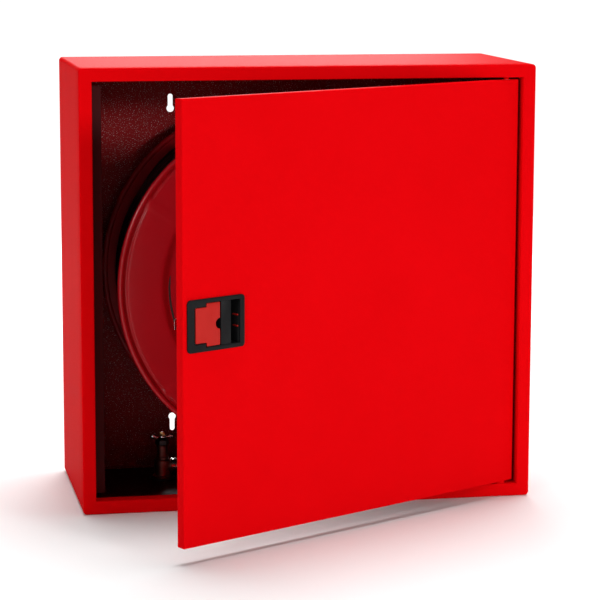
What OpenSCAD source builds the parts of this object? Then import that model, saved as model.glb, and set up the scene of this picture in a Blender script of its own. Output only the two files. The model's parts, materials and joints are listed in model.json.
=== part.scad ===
// Fire hose reel in a wall cabinet: a sheet steel case with an inset door and
// pull-flap lock, a hose drum turning on a fixed brass axle, a wound rubber
// hose with its nozzle, and an angle stop valve with its feed hose.
// Millimetres, +Z up. The origin is the centre of the case's wall face, +X runs
// to the hinge side and the front faces -Y. "d" is the distance from the wall.

/* [Cabinet] */
// Overall width of the case
cab_w = 700; // [500:1:900]
// Overall height of the case
cab_h = 675; // [500:1:900]
// Overall depth of the case
cab_d = 300; // [200:1:400]
// Sheet thickness
sheet = 1.5; // [0.8:0.1:3]
// Width of the front frame around the opening
frame_w = 20; // [10:1:40]
// Depth of the folded return behind the frame
return_d = 25; // [15:1:35]
// Outside radius of the four long edges of the case
corner_r = 6; // [2:0.5:15]

/* [Wall keyholes] */
// Sideways distance of each keyhole from the centre
key_x = 172; // [100:1:300]
// Height of the round entry above or below the centre
key_z = 253.5; // [100:0.5:300]
// Radius of the round entry
key_r = 6; // [4:0.5:10]
// Half width of the slot
key_s = 4; // [2:0.5:6]
// Length from the round centre to the slot end centre
key_l = 19.5; // [10:0.5:40]

/* [Door] */
// Angle at which the door stands open
door_ajar = 29.5; // [0:0.5:120]
// Gap at the lock side
gap_free = 3; // [1:0.5:6]
// Gap at the hinge side
gap_hinge = 5; // [2:0.5:8]
// Gap above and below
gap_end = 3.5; // [1:0.5:6]
// Depth of the door's folded edges
door_t = 16; // [10:0.5:25]
// Width of the inward fold at the back of the edges
door_lip = 12; // [5:1:25]
// Distance of the hinge axis inside the hinge edge
pivot_in = 20; // [10:1:40]
// Radius of the hinge pins
pin_r = 4; // [2:0.5:6]

/* [Lock] */
// Distance of the lock centre from the free edge
lock_s = 56.7; // [40:0.1:90]
// Width of the bezel
bezel_w = 101.6; // [60:0.1:130]
// Height of the bezel
bezel_h = 74.5; // [50:0.1:110]
// Height the bezel stands proud of the door
bezel_t = 3; // [1:0.5:6]
// Depth of the lock body behind the door face
lock_d = 36; // [25:1:45]

/* [Reel] */
// Sideways position of the reel axis
reel_x = -25; // [-60:1:60]
// Outside radius of the discs
disc_r = 265; // [200:1:300]
// Distance of the front disc face from the wall
disc_front = 256; // [200:1:280]
// Distance of the rear disc face from the wall
disc_rear = 48.5; // [40:0.5:80]
// Depth of the pressed dish in each disc
dish_d = 8; // [0:0.5:15]
// Radius of the drum core
core_r = 150; // [100:1:200]
// First rib angle
rib_a = 5; // [0:1:71]
// Radius of the brass axle
axle_r = 14; // [10:0.5:20]

/* [Hose] */
// Outside radius of the hose
hose_r = 13; // [10:0.5:18]
// Inside radius of the hose
bore_r = 9.4; // [6:0.1:13]
// Radius of the outermost turn's centre line
turn_r = 232; // [200:1:250]
// Number of turns side by side
turns = 7; // [4:1:9]
// Angle at which the hose end leaves the drum
tail_a = -20; // [-90:1:90]
// Lift of the hose end off its turn
tail_lift = 29; // [26:0.5:35]

/* [Valve] */
// Sideways position of the valve
valve_x = -201; // [-300:1:-100]
// Distance of the valve from the wall
valve_d = 90; // [40:1:200]
// Height of the outlet branch
valve_z = -316; // [-320:1:-200]
// Distance of the feed hose from the wall behind the reel
feed_d = 24; // [20:1:35]
// Radius of the feed hose's large bends
feed_bend = 100; // [80:1:120]

/* [Hidden] */
$fn = 64;
eps = 0.2;
open_w = cab_w - 2 * frame_w;
open_h = cab_h - 2 * frame_w;
door_x0 = -open_w / 2 + gap_free;
door_x1 = open_w / 2 - gap_hinge;
door_w = door_x1 - door_x0;
door_h = open_h - 2 * gap_end;
door_cx = (door_x0 + door_x1) / 2;
door_z = door_h / 2;
pivot_x = door_x1 - pivot_in;
pivot_d = cab_d - door_t / 2;
lock_x = door_x0 + lock_s;
lock_back = cab_d - lock_d;
pocket_d = cab_d - 18;
bolt_d0 = lock_back + 3;
bolt_d1 = bolt_d0 + 6;
flap_x = door_x0 + 23.5;
flap_d = cab_d - 3.5;
front_in = disc_front - sheet;
rear_in = disc_rear + sheet;
hub_d0 = rear_in + dish_d;
hub_d1 = front_in - dish_d;
bead_r = 4.5;
dish_r0 = 185;
dish_r1 = 197;
pitch = 2 * hose_r;
turn_d0 = 80;
tail_d = turn_d0 + 3 * pitch;
tail_r = turn_r + tail_lift;
ramp_r = (turn_r + tail_r) / 2;
ramp_off = (tail_r - turn_r) / 2;
out_d = 150;
lead_bend = 75;
lead_a = 120;
lead_r = core_r + hose_r + 1.5;
lead_u = lead_r - lead_bend;
feed_y0 = valve_d - feed_d;
feed_a = acos(1 - feed_y0 / (2 * feed_bend));
feed_x0 = -150;
feed_x1 = feed_x0 + 2 * feed_bend * sin(feed_a);
feed_x2 = feed_x1 + feed_bend;
top_bend = 90;
elbow_x = feed_x2 - top_bend;
red = [0.86, 0.03, 0.06];
dark_red = [0.6, 0.04, 0.06];
black = [0.05, 0.05, 0.05];
steel = [0.7, 0.71, 0.73];
brass = [0.78, 0.62, 0.3];
rubber = [0.08, 0.08, 0.09];
nylon = [0.9, 0.89, 0.84];
nickel = [0.62, 0.58, 0.55];

// A plane figure in x and z pushed out from the wall between two distances.
module slab(d0, d1) {
    translate([0, -d0, 0]) rotate([90, 0, 0]) linear_extrude(d1 - d0) children();
}

// A round bar square to the wall between two distances.
module bar(d0, d1, r) {
    translate([0, -d0, 0]) rotate([90, 0, 0]) cylinder(h = d1 - d0, r = r);
}

// A profile of radius and distance from the wall, turned about the reel axis.
module spin() {
    translate([reel_x, 0, 0]) rotate([90, 0, 0]) rotate_extrude() children();
}

// Turns its children about the reel axis, from +X towards +Z.
module on_reel(a) {
    translate([reel_x, 0, 0]) rotate([0, -a, 0]) children();
}

// Swings its children with the door from the closed to the ajar position.
module ajar() {
    translate([pivot_x, -pivot_d, 0]) rotate([0, 0, door_ajar])
        translate([-pivot_x, pivot_d, 0]) children();
}

// A rectangle with round corners.
module plate(w, h, r) {
    square([w - 2 * r, h], center = true);
    square([w, h - 2 * r], center = true);
    for (i = [-1, 1]) for (j = [-1, 1])
        translate([i * (w / 2 - r), j * (h / 2 - r)]) circle(r);
}

// A box given by two corners in x, distance from the wall and z.
module block(x0, x1, d0, d1, z0, z1) {
    translate([x0, -d1, z0]) cube([x1 - x0, d1 - d0, z1 - z0]);
}

// A round bar along x.
module xbar(x0, x1, d, z, r) {
    translate([x0, -d, z]) rotate([0, 90, 0]) cylinder(h = x1 - x0, r = r);
}

// A round bar along z.
module zbar(x, d, z0, z1, r) {
    translate([x, -d, z0]) cylinder(h = z1 - z0, r = r);
}

// Part of a ring lying in a plane parallel to the wall.
module wall_arc(cx, d, cz, rr, a0, a1, r) {
    translate([cx, -d, cz]) rotate([90, 0, 0]) rotate([0, 0, a0])
        rotate_extrude(angle = a1 - a0) translate([rr, 0]) circle(r);
}

// Part of a ring lying in a level plane.
module floor_arc(cx, y, cz, rr, a0, a1, r) {
    translate([cx, y, cz]) rotate([0, 0, a0])
        rotate_extrude(angle = a1 - a0) translate([rr, 0]) circle(r);
}

// Case: sides, top, floor, front frame and its returns, folded from one sheet.
module cabinet_wrap() {
    color(red) difference() {
        union() {
            slab(0, cab_d - sheet) difference() {
                plate(cab_w, cab_h, corner_r);
                plate(cab_w - 2 * sheet, cab_h - 2 * sheet, corner_r - sheet);
            }
            slab(cab_d - sheet, cab_d) difference() {
                plate(cab_w, cab_h, corner_r);
                square([open_w, open_h], center = true);
            }
            slab(cab_d - return_d, cab_d - sheet) difference() {
                square([open_w + 2 * sheet, open_h + 2 * sheet], center = true);
                square([open_w, open_h], center = true);
            }
        }
        zbar(pivot_x, pivot_d, open_h / 2 - 1, open_h / 2 + sheet + 1, pin_r);
        zbar(pivot_x, pivot_d, -open_h / 2 - sheet - 1, -open_h / 2 + 1, pin_r);
        zbar(valve_x, valve_d, -cab_h / 2 - 1, -cab_h / 2 + sheet + 1, 17.5);
    }
}

// One keyhole with its slot towards the nearer edge.
module keyhole(i, j) {
    translate([i * key_x, j * key_z]) circle(key_r);
    translate([i * key_x, j * (key_z + key_l)]) circle(key_s);
    translate([i * key_x, j * (key_z + key_l / 2)]) square([2 * key_s, key_l], center = true);
}

// Rear wall: a shallow pan welded inside the case.
module back_panel() {
    w = cab_w - 2 * sheet - eps;
    h = cab_h - 2 * sheet - eps;
    r = corner_r - sheet;
    color(dark_red) {
        difference() {
            slab(0, sheet) plate(w, h, r);
            slab(-1, sheet + 1) {
                for (i = [-1, 1]) for (j = [-1, 1]) keyhole(i, j);
            }
        }
        slab(sheet, 12) difference() {
            plate(w, h, r);
            plate(w - 2 * sheet, h - 2 * sheet, r - sheet);
        }
    }
}

// Angle strip behind the lock side of the opening, caught by the latch.
module strike_lip() {
    x0 = -open_w / 2 - sheet - 1.2;
    color(red) {
        block(x0, x0 + 1.2, cab_d - 26.2, cab_d - 8, -310, 310);
        block(x0, -open_w / 2 + 16, cab_d - return_d - 1.2, cab_d - return_d, -310, 310);
    }
}

// Upper hinge pin with its head above the return.
module hinge_pin_top() {
    color(red) {
        zbar(pivot_x, pivot_d, door_z - 12, open_h / 2 + sheet, pin_r);
        zbar(pivot_x, pivot_d, open_h / 2 + sheet, open_h / 2 + sheet + 3, pin_r + 2);
    }
}

// Lower hinge pin with its head below the return.
module hinge_pin_bottom() {
    color(red) {
        zbar(pivot_x, pivot_d, -open_h / 2 - sheet, -door_z + 12, pin_r);
        zbar(pivot_x, pivot_d, -open_h / 2 - sheet - 3, -open_h / 2 - sheet, pin_r + 2);
    }
}

// Nylon washer that carries the door on the lower return.
module hinge_washer() {
    color(nylon) difference() {
        zbar(pivot_x, pivot_d, -open_h / 2, -door_z - 0.1, 7.5);
        zbar(pivot_x, pivot_d, -open_h / 2 - 1, -door_z + 1, pin_r);
    }
}

// Square steel plate on the rear wall that takes the inlet elbow.
module reel_bracket() {
    color(steel) translate([reel_x, 0, 0]) difference() {
        slab(sheet, 5.5) plate(150, 150, 10);
        bar(0, 7, 10);
        for (i = [-1, 1]) for (j = [-1, 1]) translate([i * 60, 0, j * 60]) bar(0, 7, 4);
    }
}

// Four hexagon bolts through the bracket plate.
module bracket_bolts() {
    color(steel) translate([reel_x, 0, 0])
        for (i = [-1, 1]) for (j = [-1, 1]) translate([i * 60, 0, j * 60]) {
            bar(sheet, 5.5, 4);
            translate([0, -5.5, 0]) rotate([90, 0, 0]) cylinder(h = 5.5, r = 7.5, $fn = 6);
        }
}

// Fixed brass tube that carries the water into the drum.
module axle() {
    color(brass) translate([reel_x, 0, 0]) difference() {
        bar(30, 262, axle_r);
        bar(29, 200, 9.5);
        translate([0, -out_d, -20]) cylinder(h = 40, r = 6);
    }
}

// Brass elbow behind the drum, with a spigot for the feed hose.
module inlet_elbow() {
    color(brass) difference() {
        union() {
            translate([reel_x, 0, 0]) bar(5.5, 10.5, 32);
            translate([reel_x, 0, 0]) bar(10.5, 43.8, 20);
            xbar(reel_x, elbow_x, feed_d, 0, 13);
            xbar(elbow_x, elbow_x + 24, feed_d, 0, bore_r);
        }
        translate([reel_x, 0, 0]) bar(30, 45, axle_r);
        translate([reel_x, 0, 0]) bar(15, 31, 9.5);
        xbar(reel_x, elbow_x + 25, feed_d, 0, 7.5);
    }
}

// Washer between the elbow and the turning drum.
module thrust_washer() {
    color(nylon) translate([reel_x, 0, 0]) difference() {
        bar(43.8, hub_d0 - 8.2, 24);
        bar(43, hub_d0 - 7, axle_r);
    }
}

// Hexagon nut on the front end of the axle.
module axle_nut() {
    color(brass) translate([reel_x, 0, 0]) difference() {
        translate([0, -hub_d1 - 4.8, 0]) rotate([90, 0, 0]) cylinder(h = 8, r = 21, $fn = 6);
        bar(hub_d1 + 4, hub_d1 + 14, axle_r);
    }
}

// Run of the feed hose from the valve, along the floor, up the wall and to the axis.
module feed_path(r) {
    xbar(feed_x0 - 12, feed_x0, valve_d, valve_z, r);
    floor_arc(feed_x0, -valve_d + feed_bend, valve_z, feed_bend, -90, -90 + feed_a, r);
    floor_arc(feed_x1, -feed_d - feed_bend, valve_z, feed_bend, 90, 90 + feed_a, r);
    wall_arc(feed_x1, feed_d, valve_z + feed_bend, feed_bend, -90, 0, r);
    zbar(feed_x2, feed_d, valve_z + feed_bend, -top_bend, r);
    wall_arc(elbow_x, feed_d, -top_bend, top_bend, 0, 90, r);
}

// Rubber feed hose from the valve to the inlet elbow, behind the drum.
module feed_hose() {
    color(rubber) difference() {
        feed_path(hose_r);
        xbar(elbow_x - 5, elbow_x + 25, feed_d, 0, bore_r);
        xbar(feed_x0 - 14, feed_x0, valve_d, valve_z, bore_r);
    }
}

// Worm-drive clamp on the straight end at the valve and clip on the upright run.
module feed_clamps() {
    color(steel) {
        difference() {
            xbar(feed_x0 - 11, feed_x0 - 1, valve_d, valve_z, hose_r + 1);
            xbar(feed_x0 - 12, feed_x0, valve_d, valve_z, hose_r);
        }
        difference() {
            zbar(feed_x2, feed_d, -120, -110, hose_r + 1);
            zbar(feed_x2, feed_d, -121, -109, hose_r);
        }
    }
}

// Angle stop valve: inlet socket through the floor, outlet towards the drum.
module valve_body() {
    color(nickel) difference() {
        union() {
            zbar(valve_x, valve_d, -cab_h / 2, valve_z - 14, 15.9);
            zbar(valve_x, valve_d, valve_z - 14, valve_z + 12, 13);
            zbar(valve_x, valve_d, valve_z + 12, valve_z + 17, 10);
            zbar(valve_x, valve_d, valve_z + 17, valve_z + 36, 7);
            xbar(valve_x, valve_x + 34, valve_d, valve_z, 10);
            xbar(valve_x + 34, feed_x0 - 1, valve_d, valve_z, bore_r);
        }
        zbar(valve_x, valve_d, -cab_h / 2 - 1, -cab_h / 2 + 11, 12.1);
        zbar(valve_x, valve_d, -cab_h / 2 + 10, valve_z - 9, 6);
        zbar(valve_x, valve_d, valve_z - 9.06, valve_z + 9.06, 9.06);
        zbar(valve_x, valve_d, valve_z + 9, valve_z + 40, 4.06);
        xbar(valve_x + 5, feed_x0 + 20, valve_d, valve_z, 6);
    }
}

// Ribbed union nut on the valve's outlet branch.
module union_nut() {
    color(steel) difference() {
        union() {
            xbar(valve_x + 13, valve_x + 34, valve_d, valve_z, 11.5);
            for (i = [0:3]) xbar(valve_x + 14 + 5.2 * i, valve_x + 16.8 + 5.2 * i, valve_d, valve_z, 13);
        }
        xbar(valve_x + 12, valve_x + 35, valve_d, valve_z, 10);
    }
}

// Hexagon packing nut around the valve stem.
module gland_nut() {
    color(steel) difference() {
        translate([valve_x, -valve_d, valve_z + 36]) cylinder(h = 8, r = 11, $fn = 6);
        zbar(valve_x, valve_d, valve_z + 35, valve_z + 45, 4.06);
    }
}

// Rubber ring that closes the floor hole around the valve socket.
module floor_grommet() {
    color(rubber) difference() {
        union() {
            zbar(valve_x, valve_d, -cab_h / 2, -cab_h / 2 + sheet, 17.5);
            zbar(valve_x, valve_d, -cab_h / 2 + sheet, -cab_h / 2 + sheet + 2, 21);
        }
        zbar(valve_x, valve_d, -cab_h / 2 - 1, -cab_h / 2 + sheet + 3, 16);
    }
}

// Door pan: front sheet, folded edges and inward lips, cut out for the lock.
module door_skin() {
    color(red) ajar() difference() {
        union() {
            slab(cab_d - sheet, cab_d) translate([door_cx, 0]) square([door_w, door_h], center = true);
            slab(cab_d - door_t, cab_d) translate([door_cx, 0]) difference() {
                square([door_w, door_h], center = true);
                square([door_w - 2 * sheet, door_h - 2 * sheet], center = true);
            }
            slab(cab_d - door_t, cab_d - door_t + sheet) translate([door_cx, 0]) difference() {
                square([door_w, door_h], center = true);
                square([door_w - 2 * door_lip, door_h - 2 * door_lip], center = true);
            }
        }
        slab(cab_d - 2 * sheet, cab_d + 1) translate([door_x0 + 58.6, 0]) square([85, 67], center = true);
        zbar(pivot_x, pivot_d, door_z - sheet - 1, door_z + 1, 6);
        zbar(pivot_x, pivot_d, -door_z - 1, -door_z + sheet + 1, 6);
    }
}

// Hat-section stiffener welded up the inside of the door.
module door_stiffener() {
    color(red) ajar() {
        block(-10, 0, cab_d - 3, cab_d - sheet, -295, 295);
        block(0, sheet, cab_d - 13.5, cab_d - sheet, -295, 295);
        block(0, 50, cab_d - 15, cab_d - 13.5, -295, 295);
        block(50 - sheet, 50, cab_d - 13.5, cab_d - sheet, -295, 295);
        block(50, 60, cab_d - 3, cab_d - sheet, -295, 295);
    }
}

// Flanged nylon bush in the door's upper edge.
module bush_top() {
    color(nylon) difference() {
        zbar(pivot_x, pivot_d, door_z - 15, door_z, 6);
        zbar(pivot_x, pivot_d, door_z - 16, door_z + 1, pin_r + 0.06);
    }
}

// Flanged nylon bush in the door's lower edge.
module bush_bottom() {
    color(nylon) difference() {
        zbar(pivot_x, pivot_d, -door_z, -door_z + 15, 6);
        zbar(pivot_x, pivot_d, -door_z - 1, -door_z + 16, pin_r + 0.06);
    }
}

// Outline of the window in the bezel, measured from the free edge.
module lock_window() {
    translate([door_x0 + 18.2, -25.7]) square([20.4, 51.4]);
    translate([door_x0 + 38.2, -31]) square([60.8, 62]);
}

// Black frame around the flap and the finger recess.
module lock_bezel() {
    color(black) ajar() slab(cab_d, cab_d + bezel_t) difference() {
        translate([lock_x, 0]) plate(bezel_w, bezel_h, 6);
        lock_window();
    }
}

// Black lock body behind the door, with recess, latch channel and raised block.
module lock_housing() {
    x0 = door_x0;
    color(black) ajar() difference() {
        union() {
            difference() {
                block(x0 + 16.5, x0 + 99 + 1.7, lock_back, cab_d, -33, 33);
                slab(pocket_d, cab_d + 1) lock_window();
            }
            block(x0 + 65.2, x0 + 82.7, pocket_d - 1, cab_d + 2, -30.7, 30.7);
        }
        block(x0 + 15, x0 + 74, bolt_d0 - 0.2, bolt_d1 + 0.2, -7.8, 7.8);
        block(x0 + 20, x0 + 37, bolt_d1, pocket_d + 1, -4.3, 4.3);
        translate([0, 0, -32.4]) zbar(flap_x, flap_d, 0, 64.8, 1.5);
    }
}

// Two screws that hold the lock body from behind.
module lock_screws() {
    color(steel) ajar() for (j = [-1, 1]) translate([door_x0 + 91, 0, j * 22])
        bar(lock_back - 2, lock_back, 4);
}

// Steel pin through the barrel of the flap.
module flap_pin() {
    color(steel) ajar() zbar(flap_x, flap_d, -32.4, 32.4, 1.5);
}

// Two small red ribs on the far side of the finger recess.
module recess_studs() {
    color(red) ajar() for (j = [-1, 1])
        block(door_x0 + 97.2, door_x0 + 99, pocket_d + 6, pocket_d + 16, j * 8 - 1, j * 8 + 1);
}

// Red pull flap with a thumb notch, hinge barrel and latch finger.
module lock_flap() {
    x0 = door_x0;
    color(red) ajar() difference() {
        union() {
            slab(cab_d - 0.7, cab_d + 2) difference() {
                union() {
                    translate([x0 + 20.3, -25]) square([20, 50]);
                    translate([x0 + 39.8, -30.4]) square([23.9, 60.8]);
                }
                translate([x0 + 63.7, 0]) circle(7.5);
            }
            zbar(flap_x, flap_d, -24, 24, 3);
            block(x0 + 21.7, x0 + 25.3, bolt_d0 + 1.5, cab_d - 5, -3.5, 3.5);
        }
        zbar(flap_x, flap_d, -26, 26, 1.56);
    }
}

// Sliding latch with a sloped nose and a window for the flap's finger.
module latch_bolt() {
    x0 = door_x0;
    color(steel) ajar() difference() {
        translate([0, 0, -7.5]) linear_extrude(15) polygon([
            [x0 + 5.5, -bolt_d1], [x0 + 60, -bolt_d1], [x0 + 60, -bolt_d0], [x0 + 11.5, -bolt_d0]
        ]);
        block(x0 + 20.4, x0 + 26.6, bolt_d0 - 1, bolt_d1 + 1, -4, 4);
    }
}

// Profile of a pressed disc: flat outside, conical step, flat centre.
module disc_profile(d_out, d_in) {
    polygon([
        [20, d_in], [dish_r0, d_in], [dish_r1, d_out], [disc_r - bead_r, d_out],
        [disc_r - bead_r, d_out + sheet], [dish_r1, d_out + sheet], [dish_r0, d_in + sheet],
        [20, d_in + sheet]
    ]);
}

// Holes for the five tie bolts.
module tie_holes(d0, d1) {
    for (i = [0:4]) on_reel(rib_a + 36 + 72 * i) translate([120, 0, 0]) bar(d0, d1, 4);
}

// Front disc with rolled rim and five pressed ribs.
module front_disc() {
    color(red) difference() {
        union() {
            spin() disc_profile(front_in, hub_d1);
            spin() translate([disc_r - bead_r, disc_front]) circle(bead_r);
            for (i = [0:4]) on_reel(rib_a + 72 * i) slab(front_in + 0.5, disc_front + 3) {
                translate([212, -9]) square([38, 18]);
                translate([212, 0]) circle(9);
                translate([250, 0]) circle(9);
            }
            for (i = [0:4]) on_reel(rib_a + 72 * i) slab(hub_d1 + 0.5, hub_d1 + sheet + 3) {
                translate([80, -9]) square([86, 18]);
                translate([80, 0]) circle(9);
                translate([166, 0]) circle(9);
            }
        }
        tie_holes(hub_d1 - 1, hub_d1 + 3);
    }
}

// Rear disc with rolled rim.
module rear_disc() {
    color(red) difference() {
        union() {
            spin() disc_profile(disc_rear, hub_d0 - sheet);
            spin() translate([disc_r - bead_r, disc_rear]) circle(bead_r);
        }
        tie_holes(hub_d0 - 3, hub_d0 + 1);
    }
}

// Sheet drum between the discs, with a hole where the hose comes through.
module drum_core() {
    color(dark_red) difference() {
        spin() translate([core_r - 1.2, hub_d0]) square([1.2, hub_d1 - hub_d0]);
        on_reel(lead_a) wall_arc(lead_u, out_d, 0, lead_bend, -80, 20, hose_r + 2);
    }
}

// Five tie bolts with their heads and nuts.
module tie_bolts() {
    color(steel) for (i = [0:4]) on_reel(rib_a + 36 + 72 * i) translate([120, 0, 0]) {
        bar(hub_d0 - sheet, hub_d1 + sheet, 4);
        translate([0, -hub_d0 + sheet + 5.5, 0]) rotate([90, 0, 0]) cylinder(h = 5.5, r = 7.5, $fn = 6);
        translate([0, -hub_d1 - sheet, 0]) rotate([90, 0, 0]) cylinder(h = 6, r = 7.5, $fn = 6);
    }
}

// Aluminium hub tube with a flange at each disc and a port for the outlet.
module reel_hub() {
    color(steel) difference() {
        spin() {
            translate([20, hub_d0]) square([5, hub_d1 - hub_d0]);
            translate([20, hub_d0]) square([40, 4]);
            translate([20, hub_d1 - 4]) square([40, 4]);
        }
        on_reel(lead_a) translate([0, -out_d, -40]) cylinder(h = 40, r = 12);
    }
}

// Nylon bearing bush at the front disc.
module bush_front() {
    color(nylon) spin() {
        translate([axle_r + 0.06, hub_d1 - 14]) square([20 - axle_r - 0.06, 18]);
        translate([axle_r + 0.06, hub_d1 + sheet]) square([26 - axle_r - 0.06, 3]);
    }
}

// Nylon bearing bush at the rear disc.
module bush_rear() {
    color(nylon) spin() {
        translate([axle_r + 0.06, hub_d0 - 4]) square([20 - axle_r - 0.06, 18]);
        translate([axle_r + 0.06, hub_d0 - 8]) square([26 - axle_r - 0.06, 6.5]);
    }
}

// Black cap over the front end of the axle.
module hub_cap() {
    color(black) spin() {
        translate([46, hub_d1 + sheet]) square([2, 18]);
        translate([0, hub_d1 + sheet + 18]) square([48, 2]);
    }
}

// Brass elbow that turns with the drum and feeds the hose.
module outlet_elbow() {
    color(brass) on_reel(lead_a) difference() {
        union() {
            translate([0, -out_d, -lead_bend]) cylinder(h = lead_bend - 20.3, r = 12);
            translate([0, -out_d, -lead_bend]) sphere(12);
            xbar(0, 30, out_d, -lead_bend, 12);
            xbar(30, 72, out_d, -lead_bend, bore_r);
        }
        translate([0, -out_d, -lead_bend]) cylinder(h = lead_bend, r = 7.5);
        xbar(0, 73, out_d, -lead_bend, 7.5);
        translate([0, -out_d, -lead_bend]) sphere(7.5);
        bar(out_d - 20, out_d + 20, 20.1);
    }
}

// Clamp on the inner end of the hose.
module lead_clamp() {
    color(steel) on_reel(lead_a) difference() {
        xbar(42, 54, out_d, -lead_bend, hose_r + 1);
        xbar(41, 55, out_d, -lead_bend, hose_r);
    }
}

// Rubber hose: inner end, wound layers and the outer end up to the nozzle.
module hose() {
    color(rubber) {
        spin() {
            translate([core_r + 0.3, hub_d0 + 1]) square([turn_r - core_r - 22, hub_d1 - hub_d0 - 2]);
            translate([dish_r1 + 5, rear_in + 4]) square([turn_r - dish_r1 - 14, front_in - rear_in - 9.5]);
            translate([turn_r - 12, turn_d0 - 13]) square([10, pitch * turns]);
            for (i = [0:turns - 1]) translate([turn_r, turn_d0 + pitch * i]) circle(hose_r - 0.1);
        }
        on_reel(lead_a) difference() {
            union() {
                xbar(32, lead_u, out_d, -lead_bend, hose_r);
                wall_arc(lead_u, out_d, 0, lead_bend, -90, 0, hose_r);
            }
            xbar(31, 75, out_d, -lead_bend, bore_r);
        }
        on_reel(tail_a) wall_arc(ramp_off, tail_d, 0, ramp_r, -180, 0, hose_r);
        on_reel(tail_a) zbar(tail_r, tail_d, 0, 18, hose_r);
    }
}

// Nozzle shank: ferrule over the hose end and the journal for the sleeve.
module nozzle_body() {
    color(brass) on_reel(tail_a) difference() {
        union() {
            zbar(tail_r, tail_d, 4, 30, 15);
            zbar(tail_r, tail_d, 30, 44, 12.5);
            zbar(tail_r, tail_d, 44, 88, 9);
        }
        zbar(tail_r, tail_d, 3, 18, hose_r);
        zbar(tail_r, tail_d, 17, 90, 5);
    }
}

// Turning sleeve of the nozzle that opens the jet.
module nozzle_sleeve() {
    color(black) on_reel(tail_a) difference() {
        union() {
            zbar(tail_r, tail_d, 45, 90, 13);
            for (i = [0:2]) zbar(tail_r, tail_d, 50 + 12 * i, 56 + 12 * i, 13.5);
        }
        zbar(tail_r, tail_d, 44, 88.5, 9.06);
        zbar(tail_r, tail_d, 80, 91, 6);
    }
}

// Steel stem from the ball up to the handle.
module valve_stem() {
    color(steel) zbar(valve_x, valve_d, valve_z + 8.5, valve_z + 58, 4);
}

// Ball with an angled water way.
module valve_ball() {
    color(steel) difference() {
        translate([valve_x, -valve_d, valve_z]) sphere(9);
        zbar(valve_x, valve_d, valve_z - 10, valve_z, 5);
        xbar(valve_x, valve_x + 10, valve_d, valve_z, 5);
        zbar(valve_x, valve_d, valve_z + 8.5, valve_z + 12, 4);
    }
}

// Butterfly handle with two rounded wings.
module wing_handle() {
    color(steel) difference() {
        union() {
            zbar(valve_x, valve_d, valve_z + 44.3, valve_z + 51, 7);
            block(valve_x - 14, valve_x + 14, valve_d - 2.5, valve_d + 2.5, valve_z + 45.2, valve_z + 50.2);
            for (i = [-1, 1]) zbar(valve_x + i * 14, valve_d, valve_z + 44.8, valve_z + 52.4, 5);
        }
        zbar(valve_x, valve_d, valve_z + 44, valve_z + 52, 4);
    }
}

// Square brass nut on top of the stem.
module stem_nut() {
    color(brass) difference() {
        translate([valve_x - 4.5, -valve_d - 4.5, valve_z + 51]) cube([9, 9, 6]);
        zbar(valve_x, valve_d, valve_z + 50, valve_z + 58, 4);
    }
}

cabinet_wrap();
back_panel();
strike_lip();
hinge_pin_top();
hinge_pin_bottom();
hinge_washer();
reel_bracket();
bracket_bolts();
axle();
inlet_elbow();
thrust_washer();
axle_nut();
feed_hose();
feed_clamps();
valve_body();
union_nut();
gland_nut();
floor_grommet();
door_skin();
door_stiffener();
bush_top();
bush_bottom();
lock_bezel();
lock_housing();
lock_screws();
flap_pin();
recess_studs();
lock_flap();
latch_bolt();
front_disc();
rear_disc();
drum_core();
tie_bolts();
reel_hub();
bush_front();
bush_rear();
hub_cap();
outlet_elbow();
lead_clamp();
hose();
nozzle_body();
nozzle_sleeve();
valve_stem();
valve_ball();
wing_handle();
stem_nut();
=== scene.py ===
"""Looks for the fire hose reel cabinet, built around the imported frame.

Shapes are worked out in millimetres and turned into metres as they become meshes.
"d" is the distance from the wall, so y = -d. Door pieces are made in the closed
position and swung by the door's rest angle.
"""
import bpy
import bmesh
import json
import math
from mathutils import Matrix, Vector


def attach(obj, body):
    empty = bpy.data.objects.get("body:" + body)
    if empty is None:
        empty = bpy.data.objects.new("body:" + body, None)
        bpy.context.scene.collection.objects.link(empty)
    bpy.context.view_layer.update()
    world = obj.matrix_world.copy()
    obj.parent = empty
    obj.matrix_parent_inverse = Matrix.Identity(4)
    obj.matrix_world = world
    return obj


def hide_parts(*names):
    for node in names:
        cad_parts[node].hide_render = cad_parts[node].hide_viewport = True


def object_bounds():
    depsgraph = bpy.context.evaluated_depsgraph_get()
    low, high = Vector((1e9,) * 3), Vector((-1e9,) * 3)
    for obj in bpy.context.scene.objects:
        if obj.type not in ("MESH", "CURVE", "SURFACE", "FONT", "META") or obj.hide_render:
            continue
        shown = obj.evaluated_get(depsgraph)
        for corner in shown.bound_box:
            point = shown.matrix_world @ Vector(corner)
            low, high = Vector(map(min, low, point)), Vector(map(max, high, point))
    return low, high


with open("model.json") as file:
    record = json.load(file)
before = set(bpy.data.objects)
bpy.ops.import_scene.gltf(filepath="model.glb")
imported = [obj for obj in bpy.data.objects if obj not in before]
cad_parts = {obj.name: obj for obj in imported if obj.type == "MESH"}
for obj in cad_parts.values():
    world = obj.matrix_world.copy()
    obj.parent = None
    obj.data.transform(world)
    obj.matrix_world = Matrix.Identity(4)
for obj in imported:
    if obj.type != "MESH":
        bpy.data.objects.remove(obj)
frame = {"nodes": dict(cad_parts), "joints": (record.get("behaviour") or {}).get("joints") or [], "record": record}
CAD_LO, CAD_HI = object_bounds()
NODES = frame["nodes"]
JOINTS = {j["name"]: j for j in frame["joints"]}
MM = 0.001

# ---------------------------------------------------------------- camera and light
CAM_AT = Vector((-0.6981, -3.7625, 0.5526))
CAM_YAW, CAM_PITCH, CAM_ROLL = (math.radians(a) for a in (11.134, 9.165, 0.148))
CAM_LENS = 141.07
WORLD_LIGHT = 0.14
FLOOR_HALF, FLOOR_DROP = 200000, 0.0005      # mm and metres


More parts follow.
